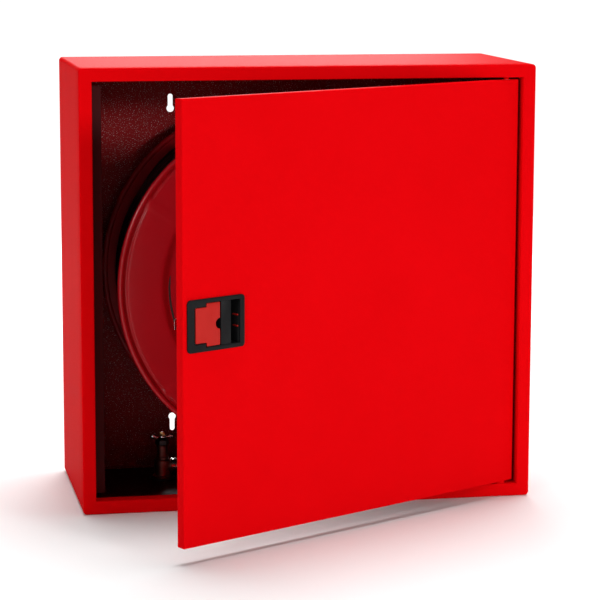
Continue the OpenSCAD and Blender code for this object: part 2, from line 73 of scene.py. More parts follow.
def make_camera():
    forward = Vector((math.sin(CAM_YAW) * math.cos(CAM_PITCH),
                      math.cos(CAM_YAW) * math.cos(CAM_PITCH), -math.sin(CAM_PITCH)))
    level = Vector((math.cos(CAM_YAW), -math.sin(CAM_YAW), 0))
    above = level.cross(forward)
    right = level * math.cos(CAM_ROLL) + above * math.sin(CAM_ROLL)
    up = above * math.cos(CAM_ROLL) - level * math.sin(CAM_ROLL)
    data = bpy.data.cameras.new("camera")
    data.lens = CAM_LENS
    cam = bpy.data.objects.new("camera", data)
    turn = Matrix((right, up, -forward)).transposed().to_4x4()
    cam.matrix_world = Matrix.Translation(CAM_AT) @ turn
    bpy.context.collection.objects.link(cam)
    bpy.context.scene.camera = cam


def area_light(name, at, look, size, power):
    data = bpy.data.lights.new(name, "AREA")
    data.shape = "RECTANGLE"
    data.size, data.size_y = size
    data.energy = power
    lamp = bpy.data.objects.new(name, data)
    lamp.location = at
    lamp.rotation_mode = "QUATERNION"
    lamp.rotation_quaternion = (Vector(look) - Vector(at)).to_track_quat("-Z", "Y")
    bpy.context.collection.objects.link(lamp)


def sun_light(name, towards, strength, soft):
    data = bpy.data.lights.new(name, "SUN")
    data.energy = strength
    data.angle = math.radians(soft)
    lamp = bpy.data.objects.new(name, data)
    lamp.rotation_mode = "QUATERNION"
    lamp.rotation_quaternion = Vector(towards).to_track_quat("Z", "Y")
    bpy.context.collection.objects.link(lamp)


def aim(azimuth, elevation):
    """Direction towards a light: azimuth to the right of the front, then up."""
    a, e = math.radians(azimuth), math.radians(elevation)
    return (math.sin(a) * math.cos(e), -math.cos(a) * math.cos(e), math.sin(e))


def make_world():
    """Weak white light from all round, and a white backdrop for the camera."""
    world = bpy.data.worlds.new("studio")
    world.use_nodes = True
    nodes, links = world.node_tree.nodes, world.node_tree.links
    nodes["Background"].inputs["Color"].default_value = (1, 1, 1, 1)
    nodes["Background"].inputs["Strength"].default_value = WORLD_LIGHT
    seen = nodes.new("ShaderNodeBackground")
    seen.inputs["Color"].default_value = (1, 1, 1, 1)
    pick = nodes.new("ShaderNodeMixShader")
    links.new(nodes.new("ShaderNodeLightPath").outputs["Is Camera Ray"], pick.inputs[0])
    links.new(nodes["Background"].outputs[0], pick.inputs[1])
    links.new(seen.outputs[0], pick.inputs[2])
    links.new(pick.outputs[0], nodes["World Output"].inputs["Surface"])
    bpy.context.scene.world = world


def make_stage():
    make_world()
    bpy.context.scene.view_settings.view_transform = "Standard"
    sun_light("key", aim(32, 12), 1.33, 10)
    sun_light("overhead", aim(158, 76), 3.2, 40)
    sun_light("fill", aim(-42, 15), 0.72, 8)
    area_light("back", (0.45, 3.0, 0.9), (0.45, 0, 0.3), (1.4, 0.5), 42)
    corners = [(x * FLOOR_HALF, y * FLOOR_HALF, 0)
               for x, y in ((-1, -1), (1, -1), (1, 1), (-1, 1))]
    floor = new_piece("floor", corners, [(0, 1, 2, 3)], smooth=False)
    floor.location.z = CAD_LO.z - FLOOR_DROP
    floor.data.materials.append(plain_floor())


# ---------------------------------------------------------------- places from the frame
def joint_at(name):
    return Vector(JOINTS[name]["pos_m"]) / MM


def box_mm(node, turn=None):
    """Corners of a node in mm, after an optional turn."""
    pts = [(turn or Matrix()) @ (v.co / MM) for v in NODES[node].data.vertices]
    return (Vector([min(p[i] for p in pts) for i in range(3)]),
            Vector([max(p[i] for p in pts) for i in range(3)]))


CASE_LO, CASE_HI = box_mm("cabinet_wrap")
CASE_W, CASE_H, CASE_D = CASE_HI.x * 2, CASE_HI.z * 2, -CASE_LO.y
SHEET, FRAME_W, RETURN_D, CORNER = 1.5, 20.0, 25.0, 6.0
PIVOT = joint_at("door_hinge")
DOOR_AJAR = -JOINTS["door_hinge"]["range_deg"][0]
AJAR = (Matrix.Translation(PIVOT) @ Matrix.Rotation(math.radians(DOOR_AJAR), 4, "Z")
        @ Matrix.Translation(-PIVOT))
DOOR_LO, DOOR_HI = box_mm("door_skin", AJAR.inverted())
DOOR_W, DOOR_H = DOOR_HI.x - DOOR_LO.x, DOOR_HI.z - DOOR_LO.z
DOOR_CX = (DOOR_LO.x + DOOR_HI.x) / 2
DOOR_T, DOOR_LIP, DOOR_CORNER = 16.0, 12.0, 1.6
BUSH_R, FLOOR_HOLE_R = 6, 17.5
CUT_DEEP = 5                      # how far a cutter stands out on each side of a sheet
FOLD_ANGLES, LIP_ANGLES = (0, 22, 45, 68, 90), (0, 30, 60, 90)

# rear wall: keyhole places, large and small radius and length, then the flange
KEY_X, KEY_Z, KEY_R, KEY_S, KEY_L = 172.0, 253.5, 6.0, 4.0, 19.5
FLANGE_D, SHEET_ROUND = 12, 0.3

# lock, with x from the door's free edge: hole in the door, bezel window, flap, finger
BEZEL_LO, BEZEL_HI = box_mm("lock_bezel", AJAR.inverted())
LOCK_HOLE_X0, LOCK_HOLE_X1, LOCK_HOLE_Z = 16.1, 101.1, 33.5
WINDOW_X, WINDOW_Z = (18.2, 38.2, 99), (25.7, 31)
FLAP_X, FLAP_Z, NOTCH_R = (20.3, 40.0, 63.7), (25, 30.4), 7.5
FINGER_X0, FINGER_X1, FINGER_Z = 21.7, 25.3, 3.5

REEL_X = joint_at("reel_spin").x
DISC_R, BEAD_R, DISH_R0, DISH_R1 = 265.0, 4.5, 185.0, 197.0
DISC_FRONT, DISC_REAR, DISH_D = 256.0, 48.5, 8.0
RIB_A, RIB_STEP, RIB_HALF, RIB_FINE = 5.0, 72.0, 9.0, 8
RIB_ROWS = ((212, 246, 0.4), (80, 166, 3.0))      # start, end, height
GROOVE_R, GROOVE_HALF, GROOVE_DEPTH = 252.6, 3.0, 2.6
HOSE_R, PITCH, TURNS = 13.0, 26.0, 7
TUBE_R = HOSE_R - 0.1
TURN_R, TURN_D0, LAYER = 232.0, 80.0, 22.5
LEVEL_PART = 310                  # degrees of a turn before the hose crosses to the next
TAIL_A, TAIL_R, TAIL_D, RAMP_R, RAMP_OFF = -20.0, 261.0, 158.0, 246.5, 14.5
LEAD_A, LEAD_R, LEAD_BEND, OUT_D = 120.0, 164.5, 75.0, 150.0

VALVE_X, VALVE_Y, VALVE_Z = joint_at("valve_turn")
STEM_R, NUT_CORNER = 4.1, 11.0
WING_HALF, WING_STEPS, WING_SIDES, WING_THIN = 19.0, 40, 20, 0.15


def on_reel(angle):
    """Turns points about the reel axis, from +X towards +Z."""
    return Matrix.Translation((REEL_X, 0, 0)) @ Matrix.Rotation(math.radians(-angle), 4, "Y")


# ---------------------------------------------------------------- mesh helpers
WELD = 0.02
LEAST_CORNER = 0.5


def new_piece(name, verts, faces, smooth=True, matrix=None, angle=35):
    """A mesh object from vertices in mm and faces, welded, with outward normals."""
    me = bpy.data.meshes.new(name)
    turn = matrix or Matrix()
    me.from_pydata([tuple((turn @ Vector(v)) * MM) for v in verts], [], faces)
    bm = bmesh.new()
    bm.from_mesh(me)
    bmesh.ops.remove_doubles(bm, verts=bm.verts, dist=WELD * MM)
    bmesh.ops.recalc_face_normals(bm, faces=bm.faces)
    bm.to_mesh(me)
    bm.free()
    if smooth:
        smooth_by_angle(me, angle)
    ob = bpy.data.objects.new(name, me)
    bpy.context.collection.objects.link(ob)
    return ob


def smooth_by_angle(me, degrees=35):
    me.polygons.foreach_set("use_smooth", [True] * len(me.polygons))
    me.set_sharp_from_angle(angle=math.radians(degrees))


def grid_faces(rows, cols, close_rows=False, close_cols=False):
    """Quads between neighbouring rows of equally long vertex rings."""
    faces = []
    for i in range(rows if close_rows else rows - 1):
        for j in range(cols if close_cols else cols - 1):
            a, b = i, (i + 1) % rows
            c, e = j, (j + 1) % cols
            faces.append((a * cols + c, a * cols + e, b * cols + e, b * cols + c))
    return faces


def round_rect(hw, hh, r, seg=6, cx=0.0, cz=0.0):
    """Points round a rectangle with round corners, counter-clockwise, from +x."""
    pts = []
    for k, (sx, sz) in enumerate(((1, 1), (-1, 1), (-1, -1), (1, -1))):
        for s in range(seg + 1):
            a = math.pi / 2 * (k + s / seg)
            pts.append((cx + sx * (hw - r) + r * math.cos(a),
                        cz + sz * (hh - r) + r * math.sin(a)))
    return pts


def rim_sweep(profile, hw, hh, corner, cx=0, close=True):
    """Sweeps a profile of (inset, d) round a rectangle of half sizes hw and hh.

    A profile that isn't closed gets a face at each end instead.
    """
    verts = []
    for inset, d in profile:
        ring = round_rect(hw - inset, hh - inset, max(corner - inset, LEAST_CORNER))
        verts += [(cx + x, -d, z) for x, z in ring]
    cols = len(verts) // len(profile)
    faces = grid_faces(len(profile), cols, close_rows=close, close_cols=True)
    if not close:
        faces += [tuple(range(cols)), tuple(range(len(verts) - cols, len(verts)))]
    return verts, faces


def arc(cx, cy, r, a0, a1, n):
    return [(cx + r * math.cos(math.radians(a0 + (a1 - a0) * i / n)),
             cy + r * math.sin(math.radians(a0 + (a1 - a0) * i / n))) for i in range(n + 1)]


def ring_point(r, k, segs, z):
    """Point k of segs round the Z axis."""
    a = 2 * math.pi * k / segs
    return (r * math.cos(a), r * math.sin(a), z)


def revolve(profile, segs):
    """Turns a closed profile of (radius, height) about +Z; returns vertices and faces."""
    verts = [ring_point(r, k, segs, h) for k in range(segs) for r, h in profile]
    return verts, grid_faces(segs, len(profile), close_rows=True, close_cols=True)


def join_parts(parts):
    """Joins several (verts, faces) or (verts, faces, matrix) into one pair of lists."""
    verts, faces = [], []
    for v, f, *turn in parts:
        base = len(verts)
        matrix = turn[0] if turn else Matrix()
        verts += [tuple(matrix @ Vector(p)) for p in v]
        faces += [tuple(i + base for i in face) for face in f]
    return verts, faces


def outline_plate(name, outlines, d0, d1, round_edge, matrix=None, segments=3):
    """A plate between two distances from the wall, from outlines in x and z.

    The first outline is the edge and the others are holes; every edge is rounded.
    """
    bm = bmesh.new()
    for pts in outlines:
        vs = [bm.verts.new((x, -d1, z)) for x, z in pts]
        for a, b in zip(vs, vs[1:] + vs[:1]):
            bm.edges.new((a, b))
    bmesh.ops.triangle_fill(bm, use_beauty=True, use_dissolve=True, edges=bm.edges[:])
    grown = bmesh.ops.extrude_face_region(bm, geom=bm.faces[:])["geom"]
    bmesh.ops.translate(bm, vec=(0, d1 - d0, 0),
                        verts=[g for g in grown if isinstance(g, bmesh.types.BMVert)])
    bmesh.ops.recalc_face_normals(bm, faces=bm.faces)
    sharp = [e for e in bm.edges
             if len(e.link_faces) == 2 and e.calc_face_angle() > math.radians(40)]
    bmesh.ops.bevel(bm, geom=sharp, offset=round_edge, offset_type="OFFSET", segments=segments,
                    profile=0.5, affect="EDGES", clamp_overlap=True)
    bm.transform(Matrix.Scale(MM, 4) @ (matrix or Matrix()))
    me = bpy.data.meshes.new(name)
    bm.to_mesh(me)
    bm.free()
    smooth_by_angle(me, 50)
    ob = bpy.data.objects.new(name, me)
    bpy.context.collection.objects.link(ob)
    return ob


def tube(path, radius, sides=16):
    """Vertices and faces of a capped round tube along a list of points in mm."""
    path = [Vector(p) for p in path]
    n = len(path)
    tangents = [(path[min(i + 1, n - 1)] - path[max(i - 1, 0)]).normalized() for i in range(n)]
    side = tangents[0].orthogonal().normalized()
    verts = []
    for p, t in zip(path, tangents):
        side = (side - t * side.dot(t)).normalized()
        other = t.cross(side)
        for k in range(sides):
            a = 2 * math.pi * k / sides
            verts.append(p + side * radius * math.cos(a) + other * radius * math.sin(a))
    faces = grid_faces(n, sides, close_cols=True)
    faces.append(tuple(range(sides))[::-1])
    faces.append(tuple(range((n - 1) * sides, n * sides)))
    return verts, faces


def cut(ob, *cutters):
    """Cuts tools away from a piece for good; each tool is (verts, faces) in mm."""
    for verts, faces in cutters:
        tool = new_piece("cutter", verts, faces, smooth=False)
        mod = ob.modifiers.new("cut", "BOOLEAN")
        mod.operation, mod.solver, mod.object = "DIFFERENCE", "EXACT", tool
        dg = bpy.context.evaluated_depsgraph_get()
        me = bpy.data.meshes.new_from_object(ob.evaluated_get(dg))
        ob.modifiers.clear()
        ob.data = me
        me.name = ob.name
        bpy.data.objects.remove(tool)
    smooth_by_angle(ob.data)


def block(x0, x1, d0, d1, z0, z1, turn):
    verts = [(x, -d, z) for x in (x0, x1) for d in (d0, d1) for z in (z0, z1)]
    faces = [(0, 1, 3, 2), (4, 6, 7, 5), (0, 4, 5, 1), (2, 3, 7, 6), (0, 2, 6, 4), (1, 5, 7, 3)]
    return [tuple(turn @ Vector(v)) for v in verts], faces


def drill(x, y, z, r, turn=None, segs=48):
    """An upright cylinder through a sheet at z, used as a cutter."""
    verts = [(x + r * math.cos(2 * math.pi * k / segs), y + r * math.sin(2 * math.pi * k / segs), h)
             for h in (z - CUT_DEEP, z + CUT_DEEP) for k in range(segs)]
    faces = grid_faces(2, segs, close_cols=True)
    faces += [tuple(range(segs)), tuple(range(segs, 2 * segs))]
    return [tuple((turn or Matrix()) @ Vector(v)) for v in verts], faces


def finish_piece(ob, body, material, *nodes, slot):
    """Gives a piece its material and body, and hides the CAD nodes it stands for. The slot argument is not used.
    """
    ob.data.materials.clear()
    ob.data.materials.append(material)
    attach(ob, body)
    if nodes:
        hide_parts(*nodes)


# ---------------------------------------------------------------- materials
def node_material(name):
    """A node material, with its nodes, links, shader and object coordinates."""
    mat = bpy.data.materials.new(name)
    mat.use_nodes = True
    nodes = mat.node_tree.nodes
    at = nodes.new("ShaderNodeTexCoord").outputs["Object"]
    return mat, nodes, mat.node_tree.links, nodes["Principled BSDF"], at


def noise(nodes, links, scale, detail, rough, where):
    tex = nodes.new("ShaderNodeTexNoise")
    tex.inputs["Scale"].default_value = scale
    tex.inputs["Detail"].default_value = detail
    tex.inputs["Roughness"].default_value = rough
    links.new(where, tex.inputs["Vector"])
    return tex.outputs["Fac"]


def ramp(nodes, links, fac, stops):
    """Blends between two (position, colour) stops."""
    node = nodes.new("ShaderNodeValToRGB")
    links.new(fac, node.inputs["Fac"])
    for el, (pos, colour) in zip(node.color_ramp.elements, stops):
        el.position = pos
        el.color = (*colour, 1)
    return node.outputs["Color"]


def grey(v):
    return (v, v, v)


def vary_roughness(nodes, links, bsdf, fac, rough):
    """Lets a noise move the roughness between two values."""
    links.new(ramp(nodes, links, fac, [(0.3, grey(rough[0])), (0.7, grey(rough[1]))]),
              bsdf.inputs["Roughness"])


def bump(nodes, links, height, strength, distance, normal=None):
    node = nodes.new("ShaderNodeBump")
    node.inputs["Strength"].default_value = strength
    node.inputs["Distance"].default_value = distance
    links.new(height, node.inputs["Height"])
    if normal:
        links.new(normal, node.inputs["Normal"])
    return node.outputs["Normal"]


def powder_coat(name, colour, dark, peel, rough, painted_glint, gloss):
    """Textured powder coat: orange peel, slight colour drift, and fine pale specks painted in as glints."""
    mat, nodes, links, bsdf, at = node_material(name)
    drift = noise(nodes, links, 7, 3, 0.5, at)
    grain = noise(nodes, links, 420, 2, 0.6, at)
    fine = noise(nodes, links, 1300, 2, 0.5, at)
    colour_out = ramp(nodes, links, drift, [(0.3, dark), (0.7, colour)])
    if painted_glint:
        # pale specks mixed into the colour: painted glints of the lamps on the grainy coat
        glint_spots = ramp(nodes, links, noise(nodes, links, 620, 1, 0.5, at),
                     [(0.63, grey(0)), (0.70, grey(painted_glint))])
        mix = nodes.new("ShaderNodeMix")
        mix.data_type = "RGBA"
        links.new(glint_spots, mix.inputs["Factor"])
        links.new(colour_out, mix.inputs["A"])
        mix.inputs["B"].default_value = (0.9, 0.75, 0.72, 1)
        colour_out = mix.outputs["Result"]
    links.new(colour_out, bsdf.inputs["Base Color"])
    vary_roughness(nodes, links, bsdf, grain, rough)
    peeled = bump(nodes, links, grain, 0.25 * peel, 0.0006)
    links.new(bump(nodes, links, fine, 0.15 * peel, 0.0003, peeled), bsdf.inputs["Normal"])
    bsdf.inputs["Specular IOR Level"].default_value = gloss
    return mat


def moulded(name, colour, light, rough, grain_scale, grain, gloss=0.5):
    """Moulded plastic with a fine spark-eroded grain."""
    mat, nodes, links, bsdf, at = node_material(name)
    drift = noise(nodes, links, 25, 3, 0.5, at)
    fine = noise(nodes, links, grain_scale, 3, 0.6, at)
    links.new(ramp(nodes, links, drift, [(0.35, colour), (0.7, light)]), bsdf.inputs["Base Color"])
    vary_roughness(nodes, links, bsdf, fine, rough)
    links.new(bump(nodes, links, fine, grain, 0.0003), bsdf.inputs["Normal"])
    bsdf.inputs["Specular IOR Level"].default_value = gloss
    return mat


def metal(name, colour, dark, rough=(0.2, 0.35), scale=300, strength=0.1):
    """Bare or plated metal with fine marks and slight tarnish."""
    mat, nodes, links, bsdf, at = node_material(name)
    marks = noise(nodes, links, scale, 4, 0.6, at)
    tarnish = noise(nodes, links, 30, 4, 0.6, at)
    links.new(ramp(nodes, links, tarnish, [(0.35, dark), (0.65, colour)]),
              bsdf.inputs["Base Color"])
    vary_roughness(nodes, links, bsdf, marks, rough)
    links.new(bump(nodes, links, marks, strength, 0.0003), bsdf.inputs["Normal"])
    bsdf.inputs["Metallic"].default_value = 1.0
    return mat


def rubber_hose(name):
    """Black rubber cover with a fine grain and dusty patches."""
    mat, nodes, links, bsdf, at = node_material(name)
    dust = noise(nodes, links, 14, 5, 0.6, at)
    fine = noise(nodes, links, 900, 3, 0.6, at)
    clean, dusty = (0.012, 0.012, 0.013), (0.035, 0.033, 0.032)
    links.new(ramp(nodes, links, dust, [(0.35, clean), (0.75, dusty)]), bsdf.inputs["Base Color"])
    vary_roughness(nodes, links, bsdf, fine, (0.42, 0.6))
    links.new(bump(nodes, links, fine, 0.25, 0.0004), bsdf.inputs["Normal"])
    return mat


def plain_floor():
    mat, nodes, links, bsdf, at = node_material("studio_floor")
    links.new(ramp(nodes, links, noise(nodes, links, 2, 2, 0.5, at),
                   [(0.3, grey(0.86)), (0.7, grey(0.88))]), bsdf.inputs["Base Color"])
    bsdf.inputs["Roughness"].default_value = 0.9
    bsdf.inputs["Specular IOR Level"].default_value = 0.1
    return mat


# name, colour, darker colour, orange peel, roughness range, painted glint specks, gloss
RED = powder_coat("red_powder_coat", (0.72, 0.0008, 0.003), (0.69, 0.0007, 0.0025),
                  0.7, (0.52, 0.62), 0, 0.006)
# the rear wall's coat carries the painted glint specks
INNER = powder_coat("inner_powder_coat", (0.36, 0.004, 0.008), (0.30, 0.003, 0.006),
                    2.4, (0.35, 0.55), 0.8, 0.12)
# painted shade: near-black red for the case's inside faces and the strike lip, which are the same red sheet in
# shade
INSIDE_SHADE = powder_coat("inside_painted_shade_coat", (0.055, 0.003, 0.004), (0.045, 0.002, 0.003),
                    0.8, (0.5, 0.6), 0, 0.1)
REEL_RED = powder_coat("reel_paint", (0.42, 0.006, 0.012), (0.39, 0.005, 0.010),
                       0.35, (0.17, 0.25), 0, 0.32)
# name, colour, lighter colour, roughness range, grain scale, grain, gloss
FLAP_RED = moulded("flap_plastic", (0.44, 0.010, 0.006), (0.48, 0.012, 0.008),
                   (0.4, 0.5), 900, 0.12, 0.14)
BLACK = moulded("black_plastic", (0.004, 0.004, 0.0045), (0.007, 0.007, 0.0075),
                (0.42, 0.58), 1600, 0.3, 0.13)
RUBBER = rubber_hose("hose_rubber_cover")
# name, colour, tarnished colour, roughness range, scale of the marks, their strength
ZINC = metal("zinc_plate", (0.66, 0.67, 0.69), (0.55, 0.55, 0.54))
UNION = metal("bright_union", (0.90, 0.88, 0.84), (0.78, 0.74, 0.68), (0.12, 0.26), 400, 0.15)
# the zinc-plated gland nut is given near-black as painted shade
NUT_PAINTED_SHADE = metal("nut_painted_shade", (0.10, 0.09, 0.09), (0.06, 0.055, 0.055), (0.35, 0.5), 400, 0.15)
CHROME = metal("chrome_plate", (0.82, 0.83, 0.85), (0.72, 0.73, 0.75), (0.06, 0.16), 200, 0.04)
# the valve casting's red-brown is a painted reflection of the red paint round it, and its dark tone painted shade
NICKEL_SHADE_AND_REFLECTION = metal("cast_nickel_painted_shade_and_reflection", (0.34, 0.11, 0.09), (0.22, 0.07, 0.06), (0.38, 0.55), 500, 0.25)
BRASS = metal("machined_brass", (0.72, 0.50, 0.20), (0.55, 0.36, 0.14), (0.2, 0.35), 260, 0.1)
ALU = metal("turned_aluminium", (0.76, 0.77, 0.79), (0.66, 0.67, 0.69), (0.25, 0.4), 420, 0.15)
NYLON = moulded("white_nylon", (0.80, 0.78, 0.70), (0.86, 0.84, 0.78), (0.4, 0.5), 700, 0.1)

SLOT_MATERIAL = {
    "red_paint": RED, "inner_paint": INNER, "reel_paint": REEL_RED, "red_plastic": FLAP_RED,
    "black_plastic": BLACK, "zinc_steel": ZINC, "chrome": CHROME, "nickel": NICKEL_SHADE_AND_REFLECTION,
    "brass": BRASS, "aluminium": ALU, "nylon": NYLON, "hose_rubber": RUBBER,
}


# ---------------------------------------------------------------- case and door
def make_case():
    fold, ret, soft = 2.2, 1.6, 0.4
    rim, end = FRAME_W, CASE_D - RETURN_D
    profile = [(0, 0), (0, 40), (0, CASE_D - 40)]
    profile += [(fold - fold * math.cos(math.radians(a)),
                 CASE_D - fold + fold * math.sin(math.radians(a))) for a in FOLD_ANGLES]
    profile += [(rim - ret - 1, CASE_D)]
    profile += [(rim - ret + ret * math.sin(math.radians(a)),
                 CASE_D - ret + ret * math.cos(math.radians(a))) for a in LIP_ANGLES]
    profile += [(rim, end + soft), (rim - soft, end), (rim - SHEET + soft, end),
                (rim - SHEET, end + soft), (rim - SHEET, CASE_D - SHEET),
                (SHEET, CASE_D - SHEET), (SHEET, 0)]
    ob = new_piece("case_shell", *rim_sweep(profile, CASE_W / 2, CASE_H / 2, CORNER), angle=50)
    cut(ob, drill(VALVE_X, VALVE_Y, CASE_LO.z, FLOOR_HOLE_R))
    finish_piece(ob, "cabinet", RED, "cabinet_wrap", slot="red_paint")
    paint_case_inside_shade(ob)


def paint_case_inside_shade(ob):
    """Gives the faces inside the case a near-black red as painted shade; the sheet has the same red paint inside
    and out.
    """
    ob.data.materials.append(INSIDE_SHADE)
    half_w, half_h = CASE_W / 2, CASE_H / 2
    for face in ob.data.polygons:
        c, n = face.center / MM, face.normal
        x, z = abs(c.x), abs(c.z)
        hidden = x < half_w - 1 and z < half_h - 1 and -c.y < CASE_D - SHEET + 0.1
        into_opening = abs(x - half_w + FRAME_W) < 0.6 or abs(z - half_h + FRAME_W) < 0.6
        at_corner = x > half_w - CORNER and z > half_h - CORNER
        on_corner = at_corner and n.x * c.x + n.z * c.z > 0
        if hidden and not into_opening and not on_corner:
            face.material_index = 1


def make_back_panel():
    """Rear wall with four hanging slots, and the flange welded to the case sides."""
    gap = SHEET + 0.1
    hw, hh, corner = CASE_W / 2 - gap, CASE_H / 2 - gap, CORNER - SHEET
    outlines = [round_rect(hw, hh, corner)]
    lean = math.degrees(math.asin(KEY_S / KEY_R))
    for sx in (-1, 1):
        for sz in (-1, 1):
            low = arc(0, 0, KEY_R, 90 + lean, 450 - lean, 28)
            high = arc(0, KEY_L, KEY_S, 0, 180, 14)
            outlines.append([(sx * (KEY_X + x), sz * (KEY_Z + z)) for x, z in low + high])
    plate = outline_plate("back_sheet", outlines, 0, SHEET, SHEET_ROUND, segments=2)
    smooth_by_angle(plate.data, 15)
    rim = [(0, SHEET), (0, FLANGE_D - SHEET_ROUND), (SHEET_ROUND, FLANGE_D),
           (SHEET - SHEET_ROUND, FLANGE_D), (SHEET, FLANGE_D - SHEET_ROUND), (SHEET, SHEET)]
    flange = new_piece("back_flange", *rim_sweep(rim, hw, hh, corner), angle=50)
    finish_piece(plate, "cabinet", INNER, "back_panel", slot="inner_paint")
    finish_piece(flange, "cabinet", INNER, slot="inner_paint")


def make_door():
    fold, rear, soft, middle = 2.0, 1.5, 0.4, 60
    d1, d0 = CASE_D, CASE_D - DOOR_T
    profile = [(middle, d1), (10, d1)]
    profile += [(fold - fold * math.sin(math.radians(a)),
                 d1 - fold + fold * math.cos(math.radians(a))) for a in FOLD_ANGLES]
    profile += [(0, d1 - 8)]
    profile += [(rear - rear * math.cos(math.radians(a)),
                 d0 + rear - rear * math.sin(math.radians(a))) for a in LIP_ANGLES]
    profile += [(DOOR_LIP - soft, d0), (DOOR_LIP, d0 + soft), (DOOR_LIP, d0 + SHEET - soft),
                (DOOR_LIP - soft, d0 + SHEET), (SHEET, d0 + SHEET), (SHEET, d1 - SHEET),
                (middle, d1 - SHEET)]
    verts, faces = rim_sweep(profile, DOOR_W / 2, DOOR_H / 2, DOOR_CORNER, DOOR_CX, close=False)
    ob = new_piece("door_panel", verts, faces, matrix=AJAR, angle=50)
    x0 = DOOR_LO.x
    cut(ob, block(x0 + LOCK_HOLE_X0, x0 + LOCK_HOLE_X1, CASE_D - CUT_DEEP, CASE_D + CUT_DEEP,
                  -LOCK_HOLE_Z, LOCK_HOLE_Z, AJAR),
        drill(PIVOT.x, PIVOT.y, DOOR_HI.z, BUSH_R, AJAR),
        drill(PIVOT.x, PIVOT.y, DOOR_LO.z, BUSH_R, AJAR))
    finish_piece(ob, "door", RED, "door_skin", slot="red_paint")


def stepped(xs, zs, middle=()):
    """Outline that is narrower at its left end, with extra points for its right end."""
    low = [(xs[0], -zs[0]), (xs[1], -zs[0]), (xs[1], -zs[1]), (xs[2], -zs[1])]
    high = [(x, -z) for x, z in reversed(low)]
    return [(DOOR_LO.x + x, z) for x, z in low + list(middle) + high]


def make_lock():
    x0, d = DOOR_LO.x, CASE_D
    cx = (BEZEL_LO.x + BEZEL_HI.x) / 2
    edge = round_rect((BEZEL_HI.x - BEZEL_LO.x) / 2, BEZEL_HI.z, 6, 8, cx)
    window = stepped(WINDOW_X, WINDOW_Z)
    bezel = outline_plate("lock_frame", [edge, window], d, d + 3, 1.1, AJAR)
    finish_piece(bezel, "door", BLACK, "lock_bezel", slot="black_plastic")

    notch = arc(FLAP_X[2], 0, NOTCH_R, 270, 90, 15)
    edge = stepped(FLAP_X, FLAP_Z, notch)
    flap = outline_plate("flap_plate", [edge], d - 0.7, d + 2, 0.9, AJAR)
    pin = joint_at("flap_pull")
    barrel = revolve([(1.6, -24), (2.6, -24), (3.0, -23.6), (3.0, 23.6), (2.6, 24), (1.6, 24)], 32)
    latch_d = -box_mm("latch_bolt", AJAR.inverted())[1].y
    finger = block(x0 + FINGER_X0, x0 + FINGER_X1, latch_d + 1.5, d - 5,
                   -FINGER_Z, FINGER_Z, AJAR)
    verts, faces = join_parts([(*barrel, Matrix.Translation((pin.x, pin.y, 0))), finger])
    stem = new_piece("flap_stem", verts, faces)
    finish_piece(flap, "flap", FLAP_RED, "lock_flap", slot="red_plastic")
    finish_piece(stem, "flap", FLAP_RED, slot="red_plastic")


# ---------------------------------------------------------------- reel
def smooth_step(t):
    t = min(max(t, 0.0), 1.0)
    return t * t * (3 - 2 * t)


def rib_height(r, a):
    """Height of the pressed ribs and groove at a radius and angle."""
    off = (a - RIB_A + RIB_STEP / 2) % RIB_STEP - RIB_STEP / 2
    u, v = r * math.cos(math.radians(off)), r * math.sin(math.radians(off))
    groove = smooth_step((GROOVE_HALF - abs(r - GROOVE_R)) / 1.6)
    height = -GROOVE_DEPTH * groove * smooth_step((abs(v) - RIB_HALF) / 3.0)
    for start, end, rise in RIB_ROWS:
        along = max(start - u, u - end, 0.0)
        q = math.hypot(along, v) / RIB_HALF
        height += rise * smooth_step((1 - q) / 0.45)
    return height


def ribbed_angles():
    """Angles round a disc, closer together at the ribs."""
    angles = []
    rest = RIB_STEP - 2 * RIB_FINE
    for k in range(round(360 / RIB_STEP)):
        mid = RIB_A + RIB_STEP * k
        angles += [mid + RIB_FINE * (i / 14) for i in range(-14, 14)]
        angles += [mid + RIB_FINE + rest * i / 24 for i in range(24)]
    return angles


def disc_mesh(name, profile, angles, ribbed, outward):
    """A pressed disc: a face profile of (r, d, pressed) with a rolled bead, and a back face."""
    verts = []
    for a in angles:
        c, s = math.cos(math.radians(a)), math.sin(math.radians(a))
        front, back = [], []
        for r, d, pressed in profile:
            lift = rib_height(r, a) if pressed and ribbed else 0.0
            front.append((REEL_X + r * c, -(d + outward * lift), r * s))
            if pressed:
                back.append((REEL_X + r * c, -(d + outward * (lift - SHEET)), r * s))
        verts += front + back[::-1]
    faces = grid_faces(len(angles), len(verts) // len(angles), close_rows=True, close_cols=True)
    return new_piece(name, verts, faces, angle=60)


def disc_profile(face_d, dish_d, outward):
    """(r, d, pressed) samples from the hub to the rolled bead."""
    radii = [26, 34, 48, 62] + [68 + 2.6 * i for i in range(44)]
    radii += [183, 185.5, 188, 190.5, 193, 195.5, 198.5] + [201 + 3 * i for i in range(16)]
    radii += [249 + 0.8 * i for i in range(10)]
    rows = []
    for r in radii:
        step = smooth_step((r - DISH_R0 + 1.5) / (DISH_R1 - DISH_R0 + 3))
        rows.append((r, dish_d + (face_d - dish_d) * step, True))
    bead = arc(DISC_R - BEAD_R, 0, BEAD_R, 175, -150, 16)
    return rows + [(r, face_d + outward * y, False) for r, y in bead]


def make_discs():
    front = disc_profile(DISC_FRONT, DISC_FRONT - DISH_D, 1)
    finish_piece(disc_mesh("disc_front", front, ribbed_angles(), True, 1), "reel", REEL_RED,
                 "front_disc", slot="reel_paint")
    rear = disc_profile(DISC_REAR, DISC_REAR + DISH_D, -1)
    even = [i * 2.5 for i in range(144)]
    finish_piece(disc_mesh("disc_rear", rear, even, False, -1), "reel", REEL_RED,
                 "rear_disc", slot="reel_paint")


def reel_point(a, r, d):
    return (REEL_X + r * math.cos(math.radians(a)), -d, r * math.sin(math.radians(a)))


